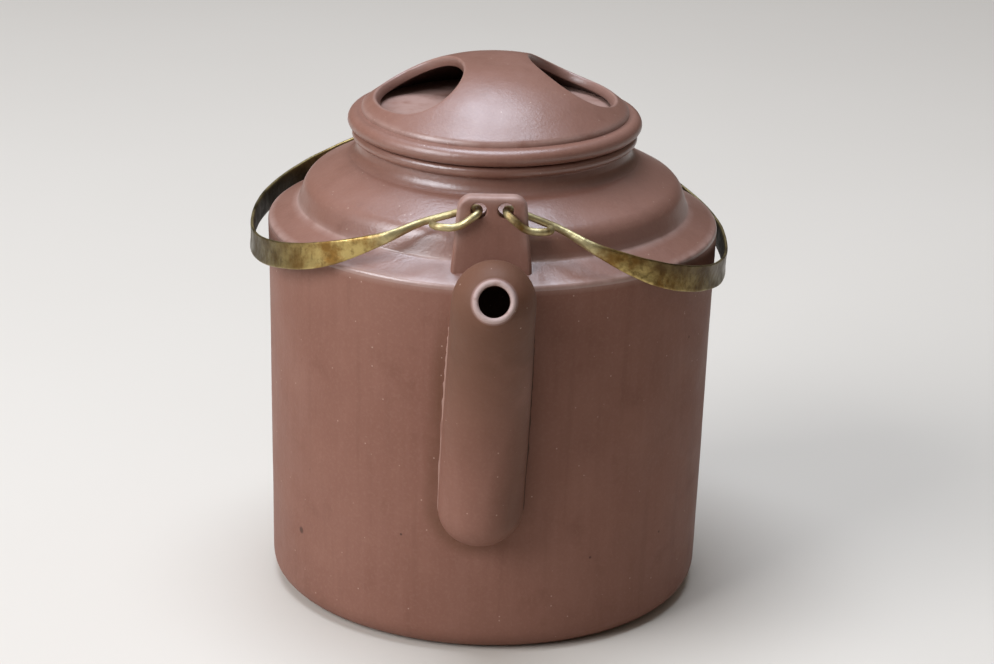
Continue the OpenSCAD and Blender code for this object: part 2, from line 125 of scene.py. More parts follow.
# Slight unevenness of the clay: the size and amount of its waves, which die out towards the foot
SLOW_WAVE, SLOW_AMOUNT = 46.0, 0.38
QUICK_WAVE, QUICK_AMOUNT = 11.0, 0.055
WAVE_STARTS = [Vector((3.1, 7.7, 1.3)), Vector((9.4, 2.2, 5.8)), Vector((4.6, 8.3, 2.9))]
STILL_Z = 6.0

# Fineness of the meshes: spacing along outlines, and counts of points
POT_STEP, WALL_STEP, ROOF_STEP, BASE_STEP, RING_STEP = 2.0, 4.0, 3.0, 6.0, 1.5
PLATE_STEP, FLANGE_STEP, DOME_STEP, EAR_STEP, BAIL_STEP = 3.0, 2.0, 0.6, 0.7, 0.75
DOME_ROW, DOME_SPACING, EAR_GRID, EAR_GRID_GAP = 1.2, 1.3, 1.3, 0.7
EAR_GRID_HALF, EAR_GRID_LOW = 12.0, 0.8
ARC_STEPS, DOME_ARC_STEPS, EDGE_STEPS, OPEN_STEPS = 10, 16, 7, 6
LATHE_SIDES, STRAINER_SIDES, EAR_HOLE_SIDES, OPEN_SIDES, DOME_SIDES = 240, 32, 40, 110, 200
SPOUT_SIDES, TOE_RINGS, LEG_RINGS, NOSE_RINGS, LIP_RINGS = 112, 16, 60, 16, 12
HOLE_RINGS, HOLE_STEP, OVAL_STEPS = 10, 2.2, 720
WIRE_SIDES, EYE_STEPS, TURN_STEPS, ARCH_STEPS, SMOOTHINGS = 28, 14, 8, 90, 3
SHARP_DEG = 50

# Colours of the clay and of its marks, among them painted shade on and beside the spout, along its
# joint and inside the lid's dome, and painted light on the lid plate
CLAY, WARM_CLAY = (0.205, 0.092, 0.064), (0.232, 0.109, 0.078)
PALE_BLOTCH, DARK_BLOTCH = (0.262, 0.128, 0.090), (0.150, 0.062, 0.040)
PALE_STREAK, DARK_STREAK = (0.275, 0.140, 0.104), (0.140, 0.060, 0.040)
PALE_GRAIN, SHADE_PAINT = (0.290, 0.158, 0.116), (0.098, 0.042, 0.020)
RUBBED_AND_LIT, WORN, INSIDE_SHADE_PAINT = (0.40, 0.265, 0.225), (0.50, 0.385, 0.355), (0.030, 0.016, 0.012)
LUTE_RIDGE, LUTE_SHADE_PAINT = (0.40, 0.255, 0.205), (0.045, 0.024, 0.014)
PALE_GRIT, DARK_GRIT, PIT = (0.48, 0.33, 0.26), (0.045, 0.022, 0.018), (0.052, 0.026, 0.018)

# Colours of the brass
BROWN_BRASS, YELLOW_BRASS = (0.215, 0.115, 0.030), (0.47, 0.350, 0.135)
SPOTTED, DULLED, TARNISHED = (0.105, 0.060, 0.018), (0.055, 0.046, 0.022), (0.075, 0.048, 0.026)
INNER_FACE, BRIGHT_WIRE, BRIGHT_EDGE = (0.022, 0.020, 0.010), (0.56, 0.49, 0.28), (0.55, 0.44, 0.21)

# Floor and light, in metres and watts
FLOOR_HALF, FLOOR_ROUGH = 3.0, 0.85
FLOOR_DARK, FLOOR_PALE = (0.60, 0.545, 0.475), (0.645, 0.59, 0.52)
HORIZON_TINT, ZENITH_TINT = (1.0, 0.82, 0.62, 1.0), (0.98, 0.97, 0.97, 1.0)
ZENITH_LEVEL, HORIZON_LEFT, HORIZON_RIGHT = 0.30, 0.08, 0.01
KEY_PLACE, KEY_TARGET, KEY_SIZE = (-1.2, -0.85, 0.95), (0, 0, 0.08), 1.0
KEY_POWER, KEY_COLOUR = 29.5, (0.89, 0.93, 1.0)
SKY_PLACE, SKY_TARGET, SKY_SIZE = (-0.1, 0.1, 1.4), (0, 0, 0.12), 0.9
SKY_POWER, SKY_COLOUR = 21.0, (0.77, 0.86, 1.0)

# Photograph's camera, in metres and radians, with its focal length in pixels
IMAGE_W, SENSOR_W = 994, 36.0
FOCAL_PX = 3000.0
CAMERA_BACK, CAMERA_UP, CAMERA_SIGHT = 0.83249, 0.37124, 20.0
PITCH, YAW, ROLL = 0.34275, 0.00264, 0.02709


def fade(values, start, end):
    """Runs straight from 0 at the start to 1 at the end, and stays there beyond them."""
    return np.clip((values - start) / (end - start), 0, 1)


def close(distance, reach):
    """Runs straight from 1 at no distance to 0 at the reach."""
    return np.clip(1 - distance / reach, 0, 1)


def ease(x):
    """Runs smoothly from 0 to 1 as x does."""
    return (1 - np.cos(np.pi * np.clip(x, 0, 1))) / 2


def lengths(points):
    """Distance along a line of points, from the first to each of them."""
    return np.concatenate([[0], np.cumsum(np.linalg.norm(np.diff(points, axis=0), axis=1))])


def circle(count):
    """Angles of evenly spaced points round a circle."""
    return 2 * math.pi * np.arange(count) / count


def rounded(corners, steps=ARC_STEPS):
    """Outline through [r, z, rounding] corners, with an arc in each rounded one."""
    out = []
    for i, (x, y, radius) in enumerate(corners):
        q = np.array([x, y], float)
        if radius == 0:
            out.append(q)
            continue
        u = np.array(corners[i - 1][:2], float) - q
        v = np.array(corners[(i + 1) % len(corners)][:2], float) - q
        u, v = u / np.linalg.norm(u), v / np.linalg.norm(v)
        half = math.acos(float(np.clip(u @ v, -1, 1))) / 2
        mid = q + (u + v) / np.linalg.norm(u + v) * radius / math.sin(half)
        a = q + u * radius / math.tan(half) - mid
        b = q + v * radius / math.tan(half) - mid
        start = math.atan2(a[1], a[0])
        turn = (math.atan2(b[1], b[0]) - start + math.pi) % (2 * math.pi) - math.pi
        for k in range(steps + 1):
            angle = start + turn * k / steps
            out.append(mid + radius * np.array([math.cos(angle), math.sin(angle)]))
    return np.array(out)


def fine(points, step):
    """The same outline with its long runs split into pieces of about the given length."""
    out = [points[0]]
    for a, b in zip(points[:-1], points[1:]):
        n = max(1, int(math.ceil(np.linalg.norm(b - a) / step)))
        out += [a + (b - a) * k / n for k in range(1, n + 1)]
    return np.array(out)


def fine_block(inner, outer, low, high, step):
    """Closed outline of a plain ring or disc, with its runs split."""
    corners = [(inner, low), (outer, low), (outer, high), (inner, high), (inner, low)]
    return fine(np.array(corners, float), step)[:-1]


def between(points, low, high):
    """The part of an upward outline between two heights."""
    out = [points[0]] if low <= points[0][1] <= high else []
    for a, b in zip(points[:-1], points[1:]):
        for z in (low, high):
            if (a[1] - z) * (b[1] - z) < 0:
                out.append(a + (b - a) * (z - a[1]) / (b[1] - a[1]))
        if low <= b[1] <= high:
            out.append(b)
    return np.array(out)


# The pot's outside, with a groove under the mouth ring
POT_OUT = fine(rounded([
    (BASE_R, 0, 0), (FOOT_R, 0, FOOT_ROUND), (BODY_R, WALL_H, RIM_ROUND),
    (CREASE_R, CREASE_Z, CREASE_ROUND), (DOME_R, FLANK_Z, FLANK_ROUND), (NECK_R, NECK_Z, NECK_ROUND),
    (NECK_R - GROOVE_DEPTH, MOUTH_Z - GROOVE_H, GROOVE_ROUND), (NECK_R - GROOVE_TOP_DEPTH, MOUTH_Z, 0),
]), POT_STEP)


def near_pot(points):
    """Distance outside the pot, negative inside, and the pot's outward direction at each point."""
    r = np.hypot(points[:, 0], points[:, 1])
    q = np.stack([r, points[:, 2]], 1)
    best = np.full(len(q), np.inf)
    normal = np.zeros_like(q)
    for a, b in zip(POT_OUT[:-1], POT_OUT[1:]):
        e = b - a
        t = np.clip(((q - a) @ e) / (e @ e), 0, 1)
        off = q - (a + t[:, None] * e)
        d = np.hypot(off[:, 0], off[:, 1])
        n = np.array([e[1], -e[0]]) / np.linalg.norm(e)
        closer = d < np.abs(best) - TINY * MM
        sign = np.where(off @ n >= 0, 1.0, -1.0)
        best = np.where(closer, d * sign, best)
        normal[closer] = n
    safe = np.maximum(r, TINY)
    x, y = normal[:, 0] * points[:, 0] / safe, normal[:, 0] * points[:, 1] / safe
    return best, np.stack([x, y, normal[:, 1]], 1)


def hand_made(points):
    """Slight unevenness of a hand-built pot, the same for all pieces that meet at a place."""
    out = np.empty_like(points)
    for i, p in enumerate(points):
        slow, quick = Vector(p) / SLOW_WAVE, Vector(p) / QUICK_WAVE
        move = np.array([
            SLOW_AMOUNT * noise.noise(slow + start) + QUICK_AMOUNT * noise.noise(quick - start)
            for start in WAVE_STARTS
        ])
        move[2] *= min(p[2] / STILL_Z, 1.0)
        out[i] = p + move
    return out


def add_mesh(name, points, faces, body, nodes, attributes, uneven=True):
    """One piece from points in millimetres, riding on a body in place of CAD nodes."""
    points = np.asarray(points, float)
    if uneven:
        points = hand_made(points)
    mesh = bpy.data.meshes.new(name)
    mesh.from_pydata((points * MM).tolist(), [], faces)
    mesh.validate()
    work = bmesh.new()
    work.from_mesh(mesh)
    bmesh.ops.recalc_face_normals(work, faces=work.faces)
    work.to_mesh(mesh)
    work.free()
    mesh.shade_smooth()
    mesh.set_sharp_from_angle(angle=math.radians(SHARP_DEG))
    for key, values in attributes.items():
        layer = mesh.attributes.new(key, "FLOAT", "POINT")
        layer.data.foreach_set("value", np.asarray(values, np.float32))
    piece = bpy.data.objects.new(name, mesh)
    bpy.context.scene.collection.objects.link(piece)
    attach(piece, body)
    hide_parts(*nodes)
    return piece


def lathe(name, outline, body, nodes, rubbed_and_lit=(), painted_shade_of=None):
    """A turned clay piece from a closed outline of [r, z] points.

    The first list gives [r, z, reach] places made pale, by wear at edges and by painted light on the
    lid plate, and the function after it gives the share of painted shade.
    """
    points, rings = [], []
    for r, z in outline:
        if r < TINY:
            rings.append([len(points)] * LATHE_SIDES)
            points.append((0.0, 0.0, z))
            continue
        rings.append(list(range(len(points), len(points) + LATHE_SIDES)))
        points += [(r * math.cos(a), r * math.sin(a), z) for a in circle(LATHE_SIDES)]
    faces = []
    for a, b in zip(rings, rings[1:] + rings[:1]):
        if a[0] == a[1] and b[0] == b[1]:
            continue
        for k in range(LATHE_SIDES):
            m = (k + 1) % LATHE_SIDES
            face = [a[k], a[m], b[m], b[k]]
            faces.append([v for j, v in enumerate(face) if v not in face[:j]])
    points = np.array(points)
    rub = np.zeros(len(points))
    for r, z, reach in rubbed_and_lit:
        d = np.hypot(np.hypot(points[:, 0], points[:, 1]) - r, points[:, 2] - z)
        rub = np.maximum(rub, close(d, reach))
    attributes = {"rub": rub}
    if painted_shade_of:
        attributes["stain"] = painted_shade_of(points)
    return add_mesh(name, points, faces, body, nodes, attributes)


def make_pot():
    """Base, wall with its strainer, shoulder, neck and mouth ring."""
    lathe("clay_base", fine_block(0, BASE_R, 0, BASE_T, BASE_STEP), "pot", ["base_slab"])
    rim_rub = (BODY_R, WALL_H, RIM_RUB)
    wall_in = fine(rounded([
        (BODY_R - WALL_T, SEAM_Z, 0), (FOOT_R - WALL_T, BASE_T, INSIDE_ROUND), (BASE_R, BASE_T, 0),
    ]), WALL_STEP)
    # The wall has painted shade beside the spout
    wall = lathe("clay_wall", np.vstack([between(POT_OUT, 0, SEAM_Z), wall_in]), "pot",
                 ["front_wall", "rear_wall"], rubbed_and_lit=[rim_rub], painted_shade_of=paint_shade_by_spout)
    pierce(wall)
    roof_in = fine(rounded([
        (BORE_R, NECK_SEAM_Z, 0), (BORE_R, NECK_Z - ROOF_DROP, INSIDE_ROUND),
        (DOME_R - SHOULDER_T, FLANK_Z - ROOF_DROP, INSIDE_ROUND), (CREASE_R - SHOULDER_T, SEAM_Z, 0),
    ]), ROOF_STEP)
    lathe("clay_shoulder", np.vstack([between(POT_OUT, SEAM_Z, NECK_SEAM_Z), roof_in]), "pot",
          ["shoulder"], rubbed_and_lit=[rim_rub, (CREASE_R, CREASE_Z, CREASE_RUB)])
    neck_in = [(BORE_R, MOUTH_Z), (BORE_R, NECK_SEAM_Z)]
    lathe("clay_neck", np.vstack([between(POT_OUT, NECK_SEAM_Z, MOUTH_Z), neck_in]), "pot",
          ["neck_collar"])
    mouth_top = MOUTH_Z + MOUTH_H
    mouth = rounded([
        (BORE_R, MOUTH_Z, MOUTH_EDGE), (MOUTH_R, MOUTH_Z, MOUTH_ROLL),
        (MOUTH_R, mouth_top, MOUTH_ROLL), (BORE_R, mouth_top, MOUTH_EDGE),
    ])
    lathe("clay_mouth", fine(mouth, RING_STEP), "pot", ["mouth_ring"])


def spout_skew(z):
    """Sideways lean of the hand-set spout at a height."""
    climb = fade(z, LEG_Z - SPOUT_FOOT_R, SPOUT_MOUTH_Z)
    return SPOUT_SKEW_LOW + (SPOUT_SKEW_HIGH - SPOUT_SKEW_LOW) * climb


def paint_shade_by_spout(points):
    """Painted shade on the wall along the left and lower edge of the spout."""
    x, z = points[:, 0] - spout_skew(points[:, 2]), points[:, 2]
    out = np.hypot(x, np.minimum(z - LEG_Z, 0)) - SPOUT_FOOT_R
    near = close(np.abs(out - SPOUT_SHADE_OUT), SPOUT_SHADE_REACH) * fade(z, *SPOUT_SHADE_Z)
    left = np.clip(-x / SPOUT_SHADE_SIDE + SPOUT_SHADE_MID, SPOUT_SHADE_LEAST, 1)
    return near * left * (points[:, 1] < 0) * SPOUT_SHADE


def pierce(wall):
    """Cuts the strainer holes through the wall behind the spout."""
    work = bmesh.new()
    for row in range(-2, 3):
        for x in (0,) if row % 2 else (-STRAINER_PITCH / 2, STRAINER_PITCH / 2):
            place = Matrix.Translation(Vector((x, -BODY_R, STRAINER_Z + row * STRAINER_ROW)) * MM)
            bmesh.ops.create_cone(
                work, cap_ends=True, segments=STRAINER_SIDES, depth=4 * WALL_T * MM,
                radius1=STRAINER_R * MM, radius2=STRAINER_R * MM,
                matrix=place @ Matrix.Rotation(math.pi / 2, 4, "X"))
    mesh = bpy.data.meshes.new("strainer")
    work.to_mesh(mesh)
    work.free()
    cutter = bpy.data.objects.new("strainer", mesh)
    bpy.context.scene.collection.objects.link(cutter)
    cut = wall.modifiers.new("strainer", "BOOLEAN")
    cut.operation, cut.solver, cut.object = "DIFFERENCE", "EXACT", cutter
    shown = bpy.context.evaluated_depsgraph_get()
    result = bpy.data.meshes.new_from_object(wall.evaluated_get(shown), depsgraph=shown)
    wall.modifiers.clear()
    before, wall.data = wall.data, result
    result.name = "clay_wall"
    for old in (before, mesh):
        bpy.data.meshes.remove(old)


def sweep(rings):
    """Faces of a closed skin over rings of equal length."""
    n, m = len(rings), len(rings[0])
    faces = [[i * m + j, i * m + (j + 1) % m, (i + 1) * m + (j + 1) % m, (i + 1) * m + j]
             for i in range(n - 1) for j in range(m)]
    return faces + [list(range(m))[::-1], list(range((n - 1) * m, n * m))]


def seat_on_pot(points, normals, sink, flare):
    """Draws a piece's buried part up to just under the pot's face, and flares its foot along it."""
    d, out = near_pot(points)
    side = normals - (normals * out).sum(1)[:, None] * out
    length = np.linalg.norm(side, axis=1)
    side = side / np.maximum(length, TINY)[:, None]
    near = close(d, flare)
    sideways = np.clip(length * 1.5 - 0.3, 0, 1)
    push = flare * (1 - np.sqrt(np.clip(1 - near ** 2, 0, 1))) * sideways
    moved = points + side * push[:, None]
    d, out = near_pot(moved)
    deep = np.minimum(d + sink, 0)
    return moved - out * deep[:, None]


def normals_of(points, faces):
    """Outward direction at each point of a closed mesh."""
    mesh = bpy.data.meshes.new("scratch")
    mesh.from_pydata(points.tolist(), [], faces)
    work = bmesh.new()
    work.from_mesh(mesh)
    bmesh.ops.recalc_face_normals(work, faces=work.faces)
    work.normal_update()
    out = np.array([v.normal for v in work.verts])
    work.free()
    bpy.data.meshes.remove(mesh)
    return out


def curve(guides, t):
    """Point of a smooth curve from the first of its guide points to the last."""
    guides = np.array(guides, float)
    while len(guides) > 1:
        guides = guides[:-1] + (guides[1:] - guides[:-1]) * t
    return guides[0]


def spout_ring(back, front, half_w):
    """Evenly spaced ring of the spout between a point of its back and one of its front."""
    way = front - back
    half_l = np.linalg.norm(way) / 2
    way = way / (2 * half_l)
    bow = min(half_w, half_l)
    a = np.linspace(0, 2 * math.pi, OVAL_STEPS + 1)
    u = half_w * np.sin(a)
    v = bow * np.cos(a) + np.sign(np.cos(a)) * (half_l - bow)
    run = np.concatenate([[0], np.cumsum(np.hypot(np.diff(u), np.diff(v)))])
    at = np.arange(SPOUT_SIDES) / SPOUT_SIDES * run[-1]
    across = np.interp(at, run, u)[:, None] * np.array([1.0, 0, 0])
    return (back + front) / 2 + across + np.interp(at, run, v)[:, None] * way


def make_spout():
    """Full-fronted spout luted to the wall, whose nose ends in a rolled lip round a deep hole."""
    rise = math.radians(SPOUT_RISE)
    nose_way = np.array([0, -math.cos(rise), math.sin(rise)])
    nose_up = np.array([0, math.sin(rise), math.cos(rise)])
    lip_mid = np.array([0, LEG_Y - SPOUT_OUT, SPOUT_MOUTH_Z])
    tip_mid = lip_mid - math.sqrt(SPOUT_R ** 2 - LIP_R ** 2) * nose_way
    tip_back = tip_mid + SPOUT_R * nose_up
    back_foot = np.array([0, LEG_Y + SPOUT_FOOT_R, LEG_Z])
    corner_z = tip_back[2] - (back_foot[1] - tip_back[1]) * math.tan(rise)
    corner = np.array([0, back_foot[1], corner_z])
    back_line = [back_foot, corner, tip_back + BACK_PULL * (corner - tip_back), tip_back]
    front_foot = np.array([0, LEG_Y - SPOUT_FOOT_R, LEG_Z])
    front_lip = lip_mid - LIP_R * nose_up
    knee = np.array([0, front_foot[1] - SPOUT_LEAN, (front_foot[2] + front_lip[2]) / 2])
    front_line = [front_foot, knee, front_lip]

    rings = []
    for i in range(TOE_RINGS):
        a = math.radians(TOE_SWEEP) * (i / TOE_RINGS - 1)
        low = np.array([0, 0, SPOUT_TOE * math.sin(a)])
        draw = np.array([0, SPOUT_FOOT_R * (1 - math.cos(a)), 0])
        half_w = SPOUT_FOOT_R * math.cos(a)
        rings.append(spout_ring(back_foot + low - draw, front_foot + low + draw, half_w))
    for i in range(LEG_RINGS):
        t = i / LEG_RINGS
        half_w = SPOUT_FOOT_R + (SPOUT_R - SPOUT_FOOT_R) * t
        rings.append(spout_ring(curve(back_line, t), curve(front_line, TIP_SHARE * t), half_w))
    for i in range(NOSE_RINGS + 1):
        t = NOSE_SHARE * i / NOSE_RINGS
        a = math.acos(LIP_R / SPOUT_R) * t
        back = tip_mid + SPOUT_R * (math.sin(a) * nose_way + math.cos(a) * nose_up)
        front = curve(front_line, TIP_SHARE + (1 - TIP_SHARE) * t)
        rings.append(spout_ring(back, front, SPOUT_R * math.cos(a)))
    roll = (LIP_R - LIP_AHEAD - SPOUT_BORE_R) / 2
    lip = []
    for i in range(LIP_RINGS + 1):
        a = math.radians(LIP_START + LIP_SWEEP * i / LIP_RINGS)
        lip.append((LIP_AHEAD + roll * math.sin(a), SPOUT_BORE_R + roll + roll * math.cos(a)))
    lip += [(LIP_AHEAD - HOLE_STEP * i, SPOUT_BORE_R) for i in range(1, HOLE_RINGS + 1)]
    for along, r in lip:
        mid = lip_mid + along * nose_way
        rings.append(spout_ring(mid + r * nose_up, mid - r * nose_up, r))
    points = np.vstack(rings)
    faces = sweep(rings)

    away = points - lip_mid
    along = away @ nose_way
    around = np.linalg.norm(away - along[:, None] * nose_way, axis=1)
    from_lip = np.hypot(along - LIP_PALE_ALONG, around - LIP_PALE_R)
    pale_lip = close(from_lip, LIP_PALE_REACH) ** 0.5
    # Painted shade: darker on the upper front, where the nose faces down, and on the right side, away
    # from the key lamp
    high = fade(points[:, 2], *TOP_SHADE_Z) * fade(points[:, 1], *TOP_SHADE_Y)
    shaded = fade(points[:, 0], *SHADE_X) * fade(points[:, 1], *SHADE_Y) * SHADE
    stain = np.maximum(high, shaded) * ((along < LIP_BACK) | (around > LIP_R - LIP_EDGE))

    points[:, 0] += spout_skew(points[:, 2])
    seated = seat_on_pot(points, normals_of(points, faces), SPOUT_SINK, SPOUT_FLARE)
    outer = np.arange(len(points)) < len(points) - (HOLE_RINGS + 1) * SPOUT_SIDES
    points[outer] = seated[outer]
    add_mesh("clay_spout", points, faces, "pot", ["spout"],
             {"worn": pale_lip, "stain": stain})


def ring_inset(loop, amount):
    """A closed loop moved to its left by an amount."""
    t = np.roll(loop, -1, 0) - np.roll(loop, 1, 0)
    t = t / np.linalg.norm(t, axis=1)[:, None]
    return loop + amount * np.stack([-t[:, 1], t[:, 0]], 1)


def inside(p, loop):
    """Whether a point lies inside a closed loop."""
    a, b = loop, np.roll(loop, -1, 0)
    cross = (a[:, 1] > p[1]) != (b[:, 1] > p[1])
    with np.errstate(divide="ignore", invalid="ignore"):
        x = a[:, 0] + (p[1] - a[:, 1]) * (b[:, 0] - a[:, 0]) / (b[:, 1] - a[:, 1])
    return bool((cross & (p[0] < x)).sum() % 2)


def fill(loops, extra):
    """Triangles inside the first loop and outside the others, through extra points too."""
    points = [Vector(p) for loop in loops for p in loop]
    edges, start = [], 0
    for loop in loops:
        edges += [(start + k, start + (k + 1) % len(loop)) for k in range(len(loop))]
        start += len(loop)
    points += [Vector(p) for p in extra]
    found, _, faces, origin, _, _ = geometry.delaunay_2d_cdt(points, edges, [], 1, TINY)
    place = [ids[0] for ids in origin]
    flat = np.array([tuple(p) for p in found])
    kept = []
    for f in faces:
        mid = flat[list(f)].mean(0)
        if not any(inside(mid, hole) for hole in loops[1:]):
            kept.append([place[v] for v in f])
    return kept


def band(first, second):
    """Faces between two closed rings of point numbers."""
    n = len(first)
    return [[first[k], first[(k + 1) % n], second[(k + 1) % n], second[k]] for k in range(n)]


def evenly(points, step):
    """A closed loop spaced evenly at about the given step."""
    closed = np.vstack([points, points[:1]])
    s = lengths(closed)
    n = int(round(s[-1] / step))
    at = np.arange(n) * s[-1] / n
    return np.stack([np.interp(at, s, closed[:, 0]), np.interp(at, s, closed[:, 1])], 1)


def make_ear(name, node, turn):
    """Ear plate with softly rounded edges and two holes, its foot sunk in the shoulder."""
    loop = evenly(rounded([
        (-EAR_FOOT_HALF, EAR_FOOT_Z, EAR_FOOT_ROUND), (EAR_FOOT_HALF, EAR_FOOT_Z, EAR_FOOT_ROUND),
        (EAR_TOP_HALF, EAR_TOP_Z, EAR_ROUND), (-EAR_TOP_HALF, EAR_TOP_Z, EAR_ROUND),
    ]), EAR_STEP)
    a = circle(EAR_HOLE_SIDES)
    hole = EAR_HOLE_R * np.stack([np.cos(-a), np.sin(-a)], 1)
    outlines = [(loop, EAR_EDGE)]
    outlines += [(np.array([x, EAR_HOLE_Z]) + hole, EAR_HOLE_EDGE) for x in (-HINGE_X, HINGE_X)]

    # Each ring holds the plate's edge and its two holes, from the front face round to the back
    rings = []
    for k in range(2 * EDGE_STEPS):
        front = k < EDGE_STEPS
        t = (k if front else 2 * EDGE_STEPS - 1 - k) / (EDGE_STEPS - 1) * math.pi / 2
        ring = []
        for outline, edge in outlines:
            flat = ring_inset(outline, edge * (1 - math.sin(t)))
            drop = edge * (1 - math.cos(t))
            y = drop - EAR_Y if front else EAR_T - EAR_Y - drop
            ring.append(np.stack([flat[:, 0], np.full(len(flat), y), flat[:, 1]], 1))
        rings.append(ring)
    points, ids = [], []
    for ring in rings:
        ids.append([])
        for line in ring:
            ids[-1].append(list(range(len(points), len(points) + len(line))))
            points += [tuple(p) for p in line]
    faces = []
    for ring_a, ring_b in zip(ids[:-1], ids[1:]):
        for first, second in zip(ring_a, ring_b):
            faces += band(first, second)

    # Both faces are filled in alike, over a grid of points clear of the outlines
    flat_loops = [line[:, [0, 2]] for line in rings[0]]
    grid = []
    for x in np.arange(-EAR_GRID_HALF, EAR_GRID_HALF + 0.1, EAR_GRID):
        for z in np.arange(EAR_FOOT_Z + EAR_GRID_LOW, EAR_TOP_Z, EAR_GRID):
            p = np.array([x, z])
            gap = min(np.linalg.norm(line - p, axis=1).min() for line in flat_loops)
            in_hole = any(inside(p, line) for line in flat_loops[1:])
            if gap > EAR_GRID_GAP and inside(p, flat_loops[0]) and not in_hole:
                grid.append(p)
    flat_faces = fill(flat_loops, grid)
    for ring_ids, y in ((ids[0], -EAR_Y), (ids[-1], EAR_T - EAR_Y)):
        order = [v for line in ring_ids for v in line]
        order += list(range(len(points), len(points) + len(grid)))
        points += [(x, y, z) for x, z in grid]
        faces += [[order[v] for v in f] for f in flat_faces]

    points = np.array(points)
    top = close(np.abs(points[:, 2] - EAR_TOP_Z), EAR_TOP_RUB)
    rim = fade(np.abs(points[:, 0]), EAR_TOP_HALF - EAR_SIDE_RUB, EAR_TOP_HALF)
    rim = rim * fade(points[:, 2], *EAR_SIDE_RUB_Z)
    if turn:
        points = points * np.array([-1, -1, 1])
    add_mesh(name, points, faces, "pot", [node],
             {"rub": np.maximum(top, rim * EAR_SIDE_SHARE)})


def make_lid():
    """Plate, rolled rim, flange and the dome with its two finger openings."""
    plate_z, rim_z = LID_Z + LID_PLATE_T, LID_Z + LID_RIM_H
    # The plate's top is made paler all over, as painted light falling through the dome's openings
    lathe("clay_lid_plate", fine_block(VENT_R, LID_DOME_R, LID_Z, plate_z, PLATE_STEP), "lid",
          ["lid_plate"], rubbed_and_lit=[(LID_DOME_R * PLATE_LIGHT_SHARE, plate_z, PLATE_LIGHT_REACH)])
    rim = rounded([
        (LID_DOME_R - LID_RIM_BEHIND, LID_Z, 0), (LID_R, LID_Z, LID_RIM_LOW_ROUND),
        (LID_R, rim_z, LID_RIM_HIGH_ROUND),
        (LID_DOME_R + LID_RIM_AHEAD, rim_z - 0.2, LID_RIM_END_ROUND),
        (LID_DOME_R - LID_RIM_BEHIND, rim_z + 0.3, 0),
    ])
    lathe("clay_lid_rim", fine(rim, RING_STEP), "lid", ["lid_rim"])
    flange_in, flange_z = FLANGE_R - FLANGE_T, LID_Z - FLANGE_H
    flange = rounded([
        (flange_in, flange_z, FLANGE_ROUND), (FLANGE_R, flange_z, FLANGE_ROUND),
        (FLANGE_R, LID_Z, 0), (flange_in, LID_Z, 0),
    ])
    lathe("clay_lid_flange", fine(flange, FLANGE_STEP), "lid", ["lid_flange"])
    make_dome()


